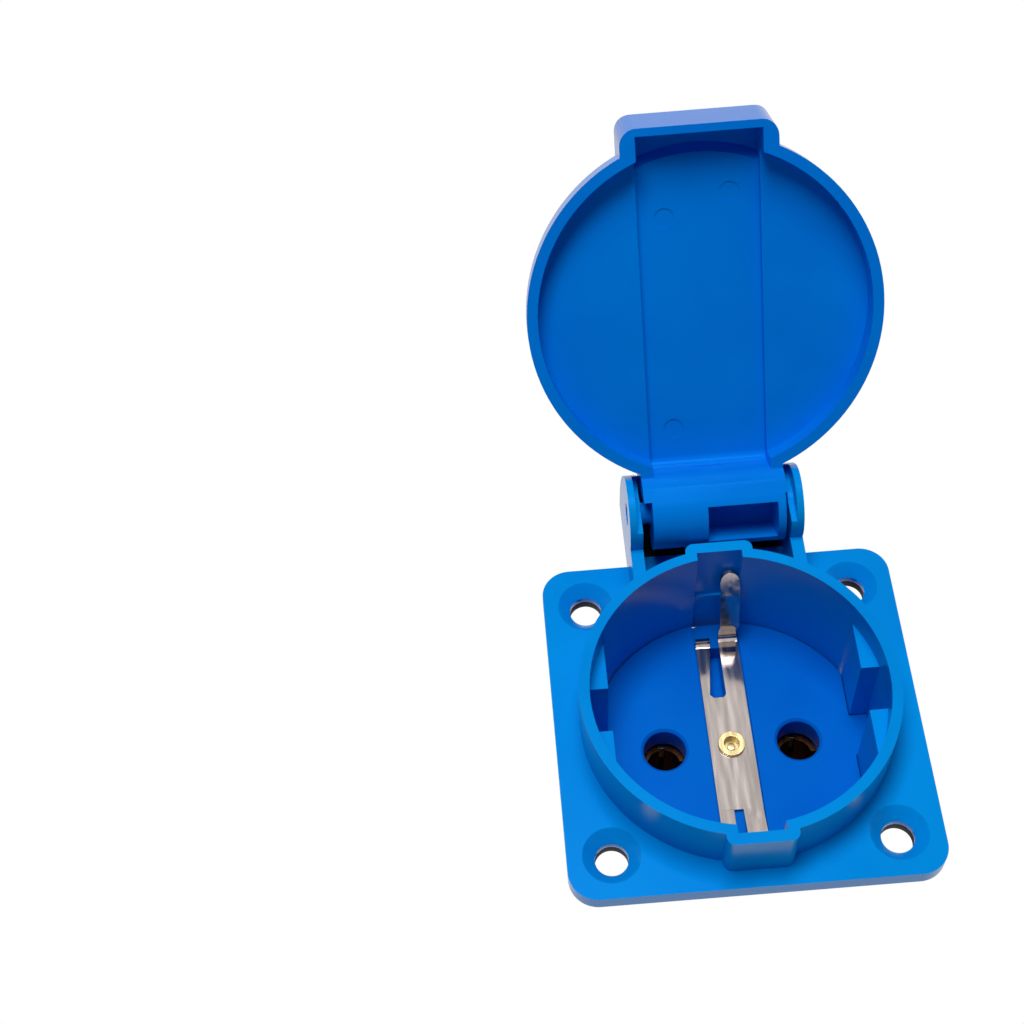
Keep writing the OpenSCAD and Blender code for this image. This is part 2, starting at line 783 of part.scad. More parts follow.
// Bracket from the rivet down to the earth clamp
module earth_terminal() {
    color(brass) {
        difference() {
            translate([-tail_w / 2, -bracket_y, plate_z - strip_t])
                cube([tail_w, bracket_y + rivet_d / 2, strip_t]);
            translate([0, 0, plate_z - strip_t - cut])
                cylinder(r = rivet_r + fit_gap / 2, h = strip_t + 2 * cut);
        }
        translate([-tail_w / 2, -bracket_y, tail_z - strip_t])
            cube([tail_w, strip_t, plate_z - tail_z + strip_t]);
        translate([-tail_w / 2, -tail_end, tail_z - strip_t]) cube([tail_w, tail_end - bracket_y, strip_t]);
    }
}

// ---- Small screws ----

module small_screw(l) {
    difference() {
        union() {
            cylinder(d = small_head_d, h = small_head_h);
            cylinder(d = small_d, h = small_head_h + l);
        }
        for (a = [0, 90]) rotate(a) translate([-small_head_d / 3, -cross_slot / 2, -cut])
            cube([small_head_d / 1.5, cross_slot, small_head_h / 2 + cut]);
    }
}

module insert_screws() {
    color(steel) at_insert_screws() translate([0, 0, plate_z - small_head_h])
        small_screw(skirt_z - plate_z + screw_grip);
}

module cover_screws() {
    color(steel) at_cover_screws() translate([0, 0, back_z + fit_gap])
        small_screw(cover_t - small_head_h - fit_gap + cover_grip - screw_tip);
}

housing();
lid();
panel_gasket();
socket_insert();
rear_cover();
line_contact();
neutral_contact();
line_spring();
neutral_spring();
line_clamp();
neutral_clamp();
line_screw();
neutral_screw();
earth_strip();
earth_rivet();
earth_terminal();
earth_clamp();
earth_screw();
insert_screws();
cover_screws();
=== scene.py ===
"""Panel socket with protective contacts and a hinged lid: the looks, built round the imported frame.

+Z points out of the panel and +Y towards the hinge. Lengths are metres, unless a comment says millimetres.
"""
import math
from contextlib import contextmanager

import bmesh
import bpy
import numpy as np
from mathutils import Matrix, Vector


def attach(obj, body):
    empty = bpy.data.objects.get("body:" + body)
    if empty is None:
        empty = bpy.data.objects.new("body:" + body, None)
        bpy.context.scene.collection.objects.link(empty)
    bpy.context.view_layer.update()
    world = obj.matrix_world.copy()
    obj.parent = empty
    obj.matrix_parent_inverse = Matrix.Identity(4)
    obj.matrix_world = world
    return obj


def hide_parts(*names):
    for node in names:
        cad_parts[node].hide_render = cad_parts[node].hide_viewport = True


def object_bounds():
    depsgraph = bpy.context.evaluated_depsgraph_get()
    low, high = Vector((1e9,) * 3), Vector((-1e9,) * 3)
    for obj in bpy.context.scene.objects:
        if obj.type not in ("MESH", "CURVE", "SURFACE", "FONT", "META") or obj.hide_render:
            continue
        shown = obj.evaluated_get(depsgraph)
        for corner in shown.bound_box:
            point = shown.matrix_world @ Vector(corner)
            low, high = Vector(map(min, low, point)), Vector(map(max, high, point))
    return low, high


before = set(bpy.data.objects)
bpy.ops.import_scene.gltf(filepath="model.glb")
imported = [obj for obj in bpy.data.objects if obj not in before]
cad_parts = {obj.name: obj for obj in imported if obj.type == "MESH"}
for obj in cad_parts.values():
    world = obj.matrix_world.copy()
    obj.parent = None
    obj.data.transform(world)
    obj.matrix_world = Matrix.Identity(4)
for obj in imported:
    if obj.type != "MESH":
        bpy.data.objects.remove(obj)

bl_info = {
    "name": "Panel socket",
    "version": (1, 0, 0),
    "blender": (4, 5, 0),
    "location": "View3D > Sidebar > Panel socket",
    "description": "Builds the finish of a panel socket with a hinged lid",
    "category": "Object",
}

MM = 0.001
CAD_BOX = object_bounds()
SOCKET, LID = "socket", "lid_body"
SHARP_FROM = 35  # degrees between two faces, from which their edge shades sharp


# ---- Sizes and colours that a user would change ----

def linear(code):
    """An sRGB hex colour such as "#1080D0" as linear RGBA."""
    values = [int(code[i:i + 2], 16) / 255 for i in (1, 3, 5)]
    return tuple(v / 12.92 if v <= 0.04045 else ((v + 0.055) / 1.055) ** 2.4 for v in values) + (1.0,)


def length(name, description, millimetres):
    """A length that a user can set."""
    return bpy.props.FloatProperty(
        name=name, description=description, default=millimetres * MM, unit="LENGTH")


def shade(name, description, code):
    """A colour that a user can set, from its sRGB hex value."""
    return bpy.props.FloatVectorProperty(
        name=name, description=description, default=linear(code), size=4,
        min=0.0, max=1.0, subtype="COLOR")


class PSOCKET_PG_stage(bpy.types.PropertyGroup):
    azimuth: bpy.props.FloatProperty(
        name="Azimuth", description="Turn of the camera from the hinge line",
        default=math.radians(0.28), unit="ROTATION")
    elevation: bpy.props.FloatProperty(
        name="Elevation", description="Camera angle above the panel",
        default=math.radians(56.61), unit="ROTATION")
    roll: bpy.props.FloatProperty(
        name="Roll", description="Turn of the camera about its line of sight",
        default=math.radians(-4.34), unit="ROTATION")
    place: bpy.props.FloatVectorProperty(
        name="Camera place", description="Where the camera stands",
        default=(-0.0291, -0.10856, 0.22359), subtype="TRANSLATION", unit="LENGTH")
    lens: bpy.props.FloatProperty(
        name="Lens", description="Focal length in millimetres, on a 36 mm sensor",
        default=62.2, subtype="DISTANCE_CAMERA")
    key_power: bpy.props.FloatProperty(
        name="Key light", description="Power of the large light overhead", default=4.0, unit="POWER")
    fill_power: bpy.props.FloatProperty(
        name="Fill light", description="Power of the front light", default=0.08, unit="POWER")
    world: bpy.props.FloatProperty(
        name="Room light", description="Strength of the even light all round", default=0.06)


class PSOCKET_PG_sizes(bpy.types.PropertyGroup):
    edge: length("Moulded edge", "Rounding of the housing's and the lid's edges", 0.18)
    gasket_edge: length("Gasket edge", "Rounding of the cut rubber edges", 0.1)
    carrier_edge: length("Insert edge", "Rounding of the contact insert's edges", 0.12)
    cover_edge: length("Rear cover edge", "Rounding of the rear cover's edges", 0.3)
    metal_edge: length("Metal edge", "Rounding of the stamped edges", 0.06)
    clamp_head: length("Clamp screw head", "Height of the terminal screws' heads", 1.8)
    clamp_shank: length("Clamp screw thread", "Outer diameter of the terminal screws' thread", 2.9)
    clamp_pitch: length("Clamp screw pitch", "Pitch of the terminal screws' thread", 0.5)
    small_head: length("Small screw head", "Height of the other screws' heads", 1.5)
    small_shank: length("Small screw thread", "Outer diameter of the other screws' thread", 2.0)
    small_pitch: length("Small screw pitch", "Pitch of the other screws' thread", 0.45)


class PSOCKET_PG_colours(bpy.types.PropertyGroup):
    housing: shade("Housing", "Darker shade of the housing", "#0088DE")
    housing_light: shade("Housing, light", "Lighter shade of the housing", "#0092E6")
    # The lid's two blues are painted shade: deeper than the housing's because the open lid leans away from
    # the light overhead.
    lid: shade("Lid", "Darker shade of the lid", "#0074DC")
    lid_light: shade("Lid, light", "Lighter shade of the lid", "#007EE4")
    carrier: shade("Insert", "Darker shade of the contact insert", "#0060C6")
    carrier_light: shade("Insert, light", "Lighter shade of the contact insert", "#006ACE")
    sheen: shade("Sheen", "Tint of the highlights on the blue plastic", "#1A66C8")
    gasket: shade("Gasket", "Darker shade of the gasket", "#101012")
    gasket_light: shade("Gasket, light", "Lighter shade of the gasket", "#1C1C1E")
    cover: shade("Rear cover", "Darker shade of the rear cover", "#17181B")
    cover_light: shade("Rear cover, light", "Lighter shade of the rear cover", "#222428")
    bracket: shade("Earth bracket", "Darker shade of the earth bracket", "#C9A45E")
    bracket_light: shade("Earth bracket, light", "Lighter shade of the earth bracket", "#E0C27E")
    rivet: shade("Rivet", "Darker shade of the rivet", "#A8946A")
    rivet_light: shade("Rivet, light", "Lighter shade of the rivet", "#C4B286")
    # The contacts' dark brown: the brown is tarnish, and the darkness is painted shade of the deep contact
    # holes.
    contact: shade("Contacts", "Darker shade of the two contacts", "#2A1A12")
    contact_light: shade("Contacts, light", "Lighter shade of the two contacts", "#4A3020")
    clip: shade("Clips", "Darker shade of the contacts' clips", "#8E9094")
    clip_light: shade("Clips, light", "Lighter shade of the contacts' clips", "#A8AAAE")
    terminal: shade("Terminals", "Darker shade of the clamps and screws", "#B4B6BA")
    terminal_light: shade("Terminals, light", "Lighter shade of the clamps and screws", "#CDD0D4")
    strip: shade("Earth strip", "Darker shade of the earth strip", "#A69C98")
    strip_light: shade("Earth strip, light", "Lighter shade of the earth strip", "#C0B6B2")


def stage_settings():
    return bpy.context.scene.psocket_stage


def sizes():
    return bpy.context.scene.psocket_sizes


def colours():
    return bpy.context.scene.psocket_colours


# ---- Node helpers ----

def add_node(tree, kind, settings=(), inputs=()):
    """Adds a node, sets its properties, then sets or links its inputs by name or index."""
    node = tree.nodes.new(kind)
    for key, value in dict(settings).items():
        setattr(node, key, value)
    for key, value in dict(inputs).items():
        socket = node.inputs[key]
        if isinstance(value, bpy.types.NodeSocket):
            tree.links.new(value, socket)
        else:
            socket.default_value = value
    return node


def new_material(name):
    """An empty material with its output node."""
    material = bpy.data.materials.new(name)
    material.use_nodes = True
    tree = material.node_tree
    tree.nodes.clear()
    return material, tree, add_node(tree, "ShaderNodeOutputMaterial")


def finish_material(tree, output, shader):
    tree.links.new(shader.outputs[0], output.inputs["Surface"])


def grain(tree, size_mm, detail=3.0):
    """Noise over the piece, with one wave about every size_mm."""
    place = add_node(tree, "ShaderNodeTexCoord")
    return add_node(tree, "ShaderNodeTexNoise", {}, {
        "Vector": place.outputs["Object"], "Scale": 1 / (size_mm * MM), "Detail": detail})


def two_shades(tree, factor, piece):
    """The two close shades of a piece's colour, spread by a noise."""
    ramp = add_node(tree, "ShaderNodeValToRGB", {}, {"Fac": factor})
    ramp.color_ramp.interpolation = "EASE"
    dark, light = ramp.color_ramp.elements
    dark.position, dark.color = 0.2, getattr(colours(), piece)
    light.position, light.color = 0.8, getattr(colours(), piece + "_light")
    return ramp.outputs["Color"]


# ---- Materials: what each finish is made like ----

def moulded_polyamide(name, piece):
    """Injection-moulded, through-coloured polyamide: satin gloss, with faint flow and sink marks.

    The skin's real grain is about 0.05 mm and is drawn at 0.35 mm, or it wouldn't show.
    """
    gloss = 0.22
    material, tree, output = new_material(name)
    flow = grain(tree, 16.0, 2.0)
    sink = grain(tree, 6.0, 2.0)
    skin = grain(tree, 0.35)
    wave = add_node(tree, "ShaderNodeBump", {}, {
        "Strength": 0.12, "Distance": 0.15 * MM, "Height": sink.outputs["Fac"]})
    bump = add_node(tree, "ShaderNodeBump", {}, {
        "Strength": 0.05, "Distance": 0.02 * MM, "Height": skin.outputs["Fac"],
        "Normal": wave.outputs["Normal"]})
    rough = add_node(tree, "ShaderNodeMapRange", {}, {
        "Value": flow.outputs["Fac"], "From Min": 0.25, "From Max": 0.75,
        "To Min": gloss - 0.05, "To Max": gloss + 0.06})
    shader = add_node(tree, "ShaderNodeBsdfPrincipled", {}, {
        "Base Color": two_shades(tree, flow.outputs["Fac"], piece),
        "Roughness": rough.outputs["Result"], "Normal": bump.outputs["Normal"],
        "IOR": 1.53, "Specular IOR Level": 0.35, "Specular Tint": colours().sheen})
    finish_material(tree, output, shader)
    return material


def matt_black(name, piece, grain_mm, strength, depth, roughness, ior):
    """A black surface with a fine even grain, matt from its depth."""
    material, tree, output = new_material(name)
    skin = grain(tree, grain_mm)
    bump = add_node(tree, "ShaderNodeBump", {}, {
        "Strength": strength, "Distance": depth, "Height": skin.outputs["Fac"]})
    shader = add_node(tree, "ShaderNodeBsdfPrincipled", {}, {
        "Base Color": two_shades(tree, skin.outputs["Fac"], piece),
        "Roughness": roughness, "Normal": bump.outputs["Normal"], "IOR": ior})
    finish_material(tree, output, shader)
    return material


def rolled_metal(name, piece, roughness):
    """Rolled or stamped metal: faint lines along the strip, spread by a stretched noise.

    Real rolling lines are about 0.1 mm apart and are drawn at 0.8 mm, or they wouldn't show.
    """
    stretch, line_mm = 12.0, 0.8
    material, tree, output = new_material(name)
    place = add_node(tree, "ShaderNodeTexCoord")
    along = add_node(tree, "ShaderNodeMapping", {}, {
        "Vector": place.outputs["Object"], "Scale": (1.0, 1 / stretch, 1.0)})
    lines = add_node(tree, "ShaderNodeTexNoise", {}, {
        "Vector": along.outputs["Vector"], "Scale": 1 / (line_mm * MM), "Detail": 4.0})
    bump = add_node(tree, "ShaderNodeBump", {}, {
        "Strength": 0.12, "Distance": 0.02 * MM, "Height": lines.outputs["Fac"]})
    rough = add_node(tree, "ShaderNodeMapRange", {}, {
        "Value": lines.outputs["Fac"], "From Min": 0.3, "From Max": 0.7,
        "To Min": roughness - 0.05, "To Max": roughness + 0.07})
    shader = add_node(tree, "ShaderNodeBsdfPrincipled", {}, {
        "Base Color": two_shades(tree, lines.outputs["Fac"], piece),
        "Metallic": 1.0, "Roughness": rough.outputs["Result"], "Normal": bump.outputs["Normal"]})
    finish_material(tree, output, shader)
    return material


# ---- Materials: the finish of each piece ----

def moulded_polyamide_blue(name):
    """The housing: a bright blue with a satin skin."""
    return moulded_polyamide(name, "housing")


def moulded_polyamide_lid_blue(name):
    """The lid: the same plastic, with painted shade: its blue is deeper than the housing's because the
    open lid leans away from the light overhead.
    """
    return moulded_polyamide(name, "lid")


def moulded_polyamide_insert_blue(name):
    """The contact insert: the deepest of the three blues."""
    return moulded_polyamide(name, "carrier")


def sheet_rubber_black(name):
    """Sheet rubber: dull black, with a fine pebbled skin."""
    return matt_black(name, "gasket", 0.4, 0.3, 0.05 * MM, roughness=0.75, ior=1.52)


def spark_eroded_polyamide_black(name):
    """Polyamide from a spark-eroded mould: even matt grain, drawn coarser than the real 0.05 mm."""
    return matt_black(name, "cover", 0.25, 0.35, 0.04 * MM, roughness=0.5, ior=1.53)


def stamped_brass(name):
    """Stamped brass sheet: clean yellow, half bright."""
    return rolled_metal(name, "bracket", 0.24)


def drawn_rivet_brass(name):
    """Drawn brass tube: pale yellow, half bright."""
    return rolled_metal(name, "rivet", 0.26)


def oxidised_contact_brass(name):
    """Contact brass: its brown is tarnish, and its darkness is painted shade of the deep contact holes;
    dull.
    """
    return rolled_metal(name, "contact", 0.38)


def hardened_spring_strip(name):
    """Hardened steel strip: grey, half bright."""
    return rolled_metal(name, "clip", 0.28)


def bright_zinc_on_steel(name):
    """Steel with a bright zinc plate: pale grey with a soft gloss."""
    return rolled_metal(name, "terminal", 0.3)


def nickel_plated_strip(name):
    """Nickel on rolled strip: warm grey, nearly a mirror, with faint rolling lines."""
    return rolled_metal(name, "strip", 0.11)


MADE = {}


def finish(maker):
    """The material that a maker builds, named after it and built on its first use."""
    if maker not in MADE:
        MADE[maker] = maker(maker.__name__)
    return MADE[maker]


# ---- Mesh helpers ----

def link(obj):
    bpy.context.scene.collection.objects.link(obj)
    return obj


@contextmanager
def edited(mesh):
    """A mesh opened for editing, and written back at the end."""
    bm = bmesh.new()
    bm.from_mesh(mesh)
    yield bm
    bm.to_mesh(mesh)
    bm.free()


def smooth_by_angle(mesh, degrees):
    """Smooth shading, with the edges sharper than the angle kept sharp."""
    limit = math.radians(degrees)
    with edited(mesh) as bm:
        for face in bm.faces:
            face.smooth = True
        for edge in bm.edges:
            edge.smooth = len(edge.link_faces) == 2 and edge.calc_face_angle(0.0) < limit


def apply_modifiers(obj):
    """Makes the modifiers' result the object's own mesh."""
    graph = bpy.context.evaluated_depsgraph_get()
    mesh = bpy.data.meshes.new_from_object(obj.evaluated_get(graph))
    obj.modifiers.clear()
    obj.data = mesh


def flat_faces(obj, degrees=SHARP_FROM):
    """Large faces shade flat, and their rounded edges take up the turn."""
    smooth_by_angle(obj.data, degrees)
    weigh = obj.modifiers.new("normals", "WEIGHTED_NORMAL")
    weigh.keep_sharp = True
    weigh.weight = 100
    apply_modifiers(obj)


def merged_copy(node, name):
    """A piece with a CAD node's form, its loose triangles joined and flat faces made whole."""
    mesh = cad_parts[node].data.copy()
    mesh.name = name
    with edited(mesh) as bm:
        bmesh.ops.remove_doubles(bm, verts=bm.verts, dist=1e-6)
        bmesh.ops.dissolve_limit(bm, angle_limit=math.radians(0.5), verts=bm.verts, edges=bm.edges)
    mesh.materials.clear()
    return link(bpy.data.objects.new(name, mesh))


def round_edges(obj, width):
    """Moulded or deburred edges: a small bevel on each corner edge."""
    bevel = obj.modifiers.new("edges", "BEVEL")
    bevel.width = width
    bevel.segments = 3
    bevel.limit_method = "ANGLE"
    bevel.angle_limit = math.radians(32)
    bevel.use_clamp_overlap = True
    bevel.miter_outer = "MITER_ARC"
    apply_modifiers(obj)


def split_at(bm, place, normal):
    """New edges where a plane crosses the mesh."""
    bmesh.ops.bisect_plane(
        bm, geom=bm.verts[:] + bm.edges[:] + bm.faces[:], plane_co=place, plane_no=normal)


def dress(node, name, maker, edge, body=SOCKET, shape=None, sharp_from=SHARP_FROM):
    """Stands a finished copy of a CAD node in its place, after shape has worked on it."""
    obj = merged_copy(node, name)
    if shape:
        shape(obj)
    if edge:
        round_edges(obj, edge)
    flat_faces(obj, sharp_from)
    obj.data.materials.append(finish(maker))
    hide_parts(node)
    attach(obj, body)
    return obj


# ---- Earth strip and rivet: the forms finer than the solids ----

# Millimetres, in the strip's own place: x across it, y along it, z up from the panel.
TONGUE_EDGE = 0.3                          # the sprung tongues' inner edge
SLIT_BEND, SLIT_END = 16.0, 7.6            # the back slit runs from the bend towards the rivet
SLIT_NARROW, SLIT_WIDE = 1.3, 2.3          # its width at each of those ends
SLIT_CORNER = 0.5                          # the cut corners at its wide end
TONGUE_CORNER = 0.4                        # and the one beside the tongue
POCKET_FLOOR, CUT_TOP = -9.2, -4.5         # the slit goes on into the insert as a pocket
LIFT_BEND, LIFT_SLOPE = 16.4, 0.26         # the front tongue rises up to its bend
TIP_START, TIP_LEAN = 5.1, 0.4             # above this height, the tips lean out
BORE_RADIUS, BORE_DEPTH = 1.15, 1.3        # the rivet's closed bore
FLOOR_THICKNESS = 0.4                      # the floor that closes it
BOSS_RADIUS, BOSS_HEIGHT = 0.575, 0.25     # the boss that the rivet tool leaves on the floor


def slit_cutter():
    """The slit beside the back tongue as a solid: narrow at the bend, wide towards the rivet."""
    right, wall = TONGUE_EDGE, TONGUE_EDGE - SLIT_WIDE
    corner_y = SLIT_END + SLIT_CORNER
    outline = ((right - SLIT_NARROW, SLIT_BEND), (right, SLIT_BEND), (right, corner_y),
               (right - TONGUE_CORNER, SLIT_END), (wall + SLIT_CORNER, SLIT_END), (wall, corner_y))
    mesh = bpy.data.meshes.new("slit_cutter")
    with edited(mesh) as bm:
        face = bm.faces.new([bm.verts.new((x * MM, y * MM, POCKET_FLOOR * MM)) for x, y in outline])
        made = bmesh.ops.extrude_face_region(bm, geom=[face])["geom"]
        top = [item for item in made if isinstance(item, bmesh.types.BMVert)]
        bmesh.ops.translate(bm, verts=top, vec=(0, 0, (CUT_TOP - POCKET_FLOOR) * MM))
        bmesh.ops.recalc_face_normals(bm, faces=bm.faces)
    return link(bpy.data.objects.new("slit_cutter", mesh))


def cut_slit(obj):
    """Cuts the slit beside the back tongue out of the strip, or its pocket out of the insert."""
    cutter = slit_cutter()
    cut = obj.modifiers.new("slit", "BOOLEAN")
    cut.operation = "DIFFERENCE"
    cut.solver = "EXACT"
    cut.object = cutter
    apply_modifiers(obj)
    bpy.data.objects.remove(cutter)


def lift_front_tongue(obj):
    """The front sprung tongue rises from its slit to its bend, and its tip keeps its height."""
    edge, near = TONGUE_EDGE * MM, 0.02 * MM
    with edited(obj.data) as bm:
        start = min(-vert.co.y for vert in bm.verts
                    if vert.co.y < 0 and abs(vert.co.x - edge) < near)
        split_at(bm, (0, -start, 0), (0, 1, 0))
        low = min(vert.co.z for vert in bm.verts)
        height = max(vert.co.z for vert in bm.verts) - low
        for vert in bm.verts:
            past = -vert.co.y - start
            if past > 0 and vert.co.x > edge - near:
                run = min(past, LIFT_BEND * MM - start)
                vert.co.z += LIFT_SLOPE * run * (1 - (vert.co.z - low) / height)


def lean_tips(obj):
    """The tips of both sprung tongues lean out a little more than the rest."""
    start = TIP_START * MM
    with edited(obj.data) as bm:
        split_at(bm, (0, 0, start), (0, 0, 1))
        for vert in bm.verts:
            past = max(0.0, vert.co.z - start)
            vert.co.y += math.copysign(TIP_LEAN * past, vert.co.y)


def shape_strip(obj):
    """The earth strip's slit, lifted front tongue and leaning tips."""
    cut_slit(obj)
    lift_front_tongue(obj)
    lean_tips(obj)


def close_bore(obj):
    """A floor in the tubular rivet's bore, with a small boss on it."""
    floor = (BORE_RADIUS, BORE_DEPTH, BORE_DEPTH + FLOOR_THICKNESS)
    boss = (BOSS_RADIUS, BORE_DEPTH - BOSS_HEIGHT, BORE_DEPTH)
    with edited(obj.data) as bm:
        top = max(vert.co.z for vert in bm.verts)
        for radius, start, end in (floor, boss):
            bmesh.ops.create_cone(
                bm, cap_ends=True, segments=32, radius1=radius * MM, radius2=radius * MM,
                depth=(end - start) * MM,
                matrix=Matrix.Translation((0, 0, top - (start + end) / 2 * MM)))


# ---- Screws, as geometry nodes ----

# Shares of the head's diameter, of its height and of the pitch.
HEAD_CHAMFER, SLOT_WIDTH, CROSS_LENGTH = 0.06, 0.17, 0.62
SLOT_DEPTH = 0.5
THREAD_DEPTH = 0.4


def screw_tree():
    """A turned screw, head down and thread up, on every point of the mesh it is given."""
    tree = bpy.data.node_groups.new("turned_screw", "GeometryNodeTree")
    sockets = tree.interface
    sockets.new_socket("Geometry", in_out="INPUT", socket_type="NodeSocketGeometry")
    for name in ("Head Diameter", "Head Height", "Head Chamfer", "Shank Diameter", "Shank Length",
                 "Pitch", "Thread Depth", "Slot Width", "Slot Depth", "Slot Length", "Second Slot"):
        sockets.new_socket(name, in_out="INPUT", socket_type="NodeSocketFloat").subtype = "DISTANCE"
    sockets.new_socket("Material", in_out="INPUT", socket_type="NodeSocketMaterial")
    sockets.new_socket("Geometry", in_out="OUTPUT", socket_type="NodeSocketGeometry")

    size = add_node(tree, "NodeGroupInput").outputs
    rim_steps, turn_steps, ridge_sides = 48, 20, 6
    times, less = {"operation": "MULTIPLY"}, {"operation": "SUBTRACT"}
    head_r = add_node(tree, "ShaderNodeMath", times, {0: size["Head Diameter"], 1: 0.5}).outputs[0]
    shank_r = add_node(tree, "ShaderNodeMath", times, {0: size["Shank Diameter"], 1: 0.5}).outputs[0]
    core_r = add_node(tree, "ShaderNodeMath", less, {0: shank_r, 1: size["Thread Depth"]}).outputs[0]
    top_r = add_node(tree, "ShaderNodeMath", less, {0: head_r, 1: size["Head Chamfer"]}).outputs[0]
    tip_r = add_node(tree, "ShaderNodeMath", less, {0: core_r, 1: size["Thread Depth"]}).outputs[0]
    rim_h = add_node(tree, "ShaderNodeMath", less, {
        0: size["Head Height"], 1: size["Head Chamfer"]}).outputs[0]
    core_l = add_node(tree, "ShaderNodeMath", less, {
        0: size["Shank Length"], 1: size["Thread Depth"]}).outputs[0]
    tip_z = add_node(tree, "ShaderNodeMath", {}, {0: size["Head Height"], 1: core_l}).outputs[0]

    solid = add_node(tree, "GeometryNodeMeshBoolean", {"operation": "UNION", "solver": "EXACT"})
    for bottom, top, height, z in (
            (top_r, head_r, size["Head Chamfer"], 0.0), (head_r, head_r, rim_h, size["Head Chamfer"]),
            (core_r, core_r, core_l, size["Head Height"]), (core_r, tip_r, size["Thread Depth"], tip_z)):
        ring = add_node(tree, "GeometryNodeMeshCone", {}, {
            "Vertices": rim_steps, "Radius Bottom": bottom, "Radius Top": top, "Depth": height})
        place = add_node(tree, "ShaderNodeCombineXYZ", {}, {"Z": z})
        moved = add_node(tree, "GeometryNodeTransform", {}, {
            "Geometry": ring.outputs["Mesh"], "Translation": place.outputs[0]})
        tree.links.new(moved.outputs[0], solid.inputs["Mesh 2"])

    deep = add_node(tree, "ShaderNodeMath", times, {0: size["Slot Depth"], 1: 2.0}).outputs[0]
    slotted = add_node(tree, "GeometryNodeMeshBoolean", {"operation": "DIFFERENCE", "solver": "EXACT"}, {
        "Mesh 1": solid.outputs["Mesh"]})
    for x, y in ((size["Slot Length"], size["Slot Width"]), (size["Slot Width"], size["Second Slot"])):
        box = add_node(tree, "ShaderNodeCombineXYZ", {}, {"X": x, "Y": y, "Z": deep})
        cube = add_node(tree, "GeometryNodeMeshCube", {}, {"Size": box.outputs[0]})
        tree.links.new(cube.outputs["Mesh"], slotted.inputs["Mesh 2"])

    room = add_node(tree, "ShaderNodeMath", less, {0: core_l, 1: size["Pitch"]}).outputs[0]
    turns = add_node(tree, "ShaderNodeMath", {"operation": "DIVIDE"}, {0: room, 1: size["Pitch"]})
    ridge = add_node(tree, "ShaderNodeMath", times, {0: size["Thread Depth"], 1: 0.6}).outputs[0]
    run_r = add_node(tree, "ShaderNodeMath", less, {0: shank_r, 1: ridge}).outputs[0]
    spiral = add_node(tree, "GeometryNodeCurveSpiral", {}, {
        "Resolution": turn_steps, "Rotations": turns.outputs[0], "Start Radius": run_r,
        "End Radius": run_r, "Height": room})
    profile = add_node(tree, "GeometryNodeCurvePrimitiveCircle", {}, {
        "Resolution": ridge_sides, "Radius": ridge})
    coil = add_node(tree, "GeometryNodeCurveToMesh", {}, {
        "Curve": spiral.outputs[0], "Profile Curve": profile.outputs["Curve"], "Fill Caps": True})
    start_z = add_node(tree, "ShaderNodeMath", {}, {0: size["Head Height"], 1: size["Pitch"]})
    start = add_node(tree, "ShaderNodeCombineXYZ", {}, {"Z": start_z.outputs[0]})
    thread = add_node(tree, "GeometryNodeTransform", {}, {
        "Geometry": coil.outputs[0], "Translation": start.outputs[0]})

    screw = add_node(tree, "GeometryNodeJoinGeometry", {}, {"Geometry": slotted.outputs["Mesh"]})
    tree.links.new(thread.outputs[0], screw.inputs["Geometry"])
    placed = add_node(tree, "GeometryNodeInstanceOnPoints", {}, {
        "Points": size["Geometry"], "Instance": screw.outputs[0]})
    real = add_node(tree, "GeometryNodeRealizeInstances", {}, {"Geometry": placed.outputs[0]})
    coated = add_node(tree, "GeometryNodeSetMaterial", {}, {
        "Geometry": real.outputs[0], "Material": size["Material"]})
    add_node(tree, "NodeGroupOutput", {}, {"Geometry": coated.outputs[0]})
    return tree


def solid_boxes(node):
    """The low and high corner of each solid in a CAD node."""
    bm = bmesh.new()
    bm.from_mesh(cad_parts[node].data)
    bmesh.ops.remove_doubles(bm, verts=bm.verts, dist=1e-6)
    left, boxes = set(bm.verts), []
    while left:
        found, waiting = set(), [next(iter(left))]
        while waiting:
            vert = waiting.pop()
            if vert not in found:
                found.add(vert)
                waiting.extend(edge.other_vert(vert) for edge in vert.link_edges)
        left -= found
        places = np.array([vert.co for vert in found])
        boxes.append((places.min(axis=0), places.max(axis=0)))
    bm.free()
    return sorted(boxes, key=lambda box: tuple(box[0]))


def turned_screws(tree, node, name, head_height, shank, pitch, cross):
    """Puts a threaded screw in the place of each screw of a CAD node."""
    boxes = solid_boxes(node)
    mesh = bpy.data.meshes.new(name)
    mesh.from_pydata([((low[0] + high[0]) / 2, (low[1] + high[1]) / 2, low[2])
                      for low, high in boxes], [], [])
    obj = link(bpy.data.objects.new(name, mesh))
    low, high = boxes[0]
    head = float(high[0] - low[0])
    slot = CROSS_LENGTH * head if cross else 2 * head
    values = {
        "Head Diameter": head, "Head Height": head_height, "Head Chamfer": HEAD_CHAMFER * head,
        "Shank Diameter": shank, "Shank Length": float(high[2] - low[2]) - head_height,
        "Pitch": pitch, "Thread Depth": THREAD_DEPTH * pitch, "Slot Width": SLOT_WIDTH * head,
        "Slot Depth": SLOT_DEPTH * head_height, "Slot Length": slot,
        "Second Slot": slot if cross else SLOT_WIDTH * head, "Material": finish(bright_zinc_on_steel)}
    modifier = obj.modifiers.new("screws", "NODES")
    modifier.node_group = tree
    for item in tree.interface.items_tree:
        if item.in_out == "INPUT" and item.name in values:
            modifier[item.identifier] = values[item.name]
    apply_modifiers(obj)
    flat_faces(obj)
    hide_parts(node)
    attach(obj, SOCKET)
    return obj


# ---- Stage ----

LAMP_TARGET = (0, 0.02, 0)
KEY_PLACE, KEY_SIZE = (-0.06, 0.06, 0.68), (0.4, 0.25)
FILL_PLACE, FILL_SIZE = (-0.25, -0.45, 0.4), (0.5, 0.4)
WHITE = (1, 1, 1, 1)


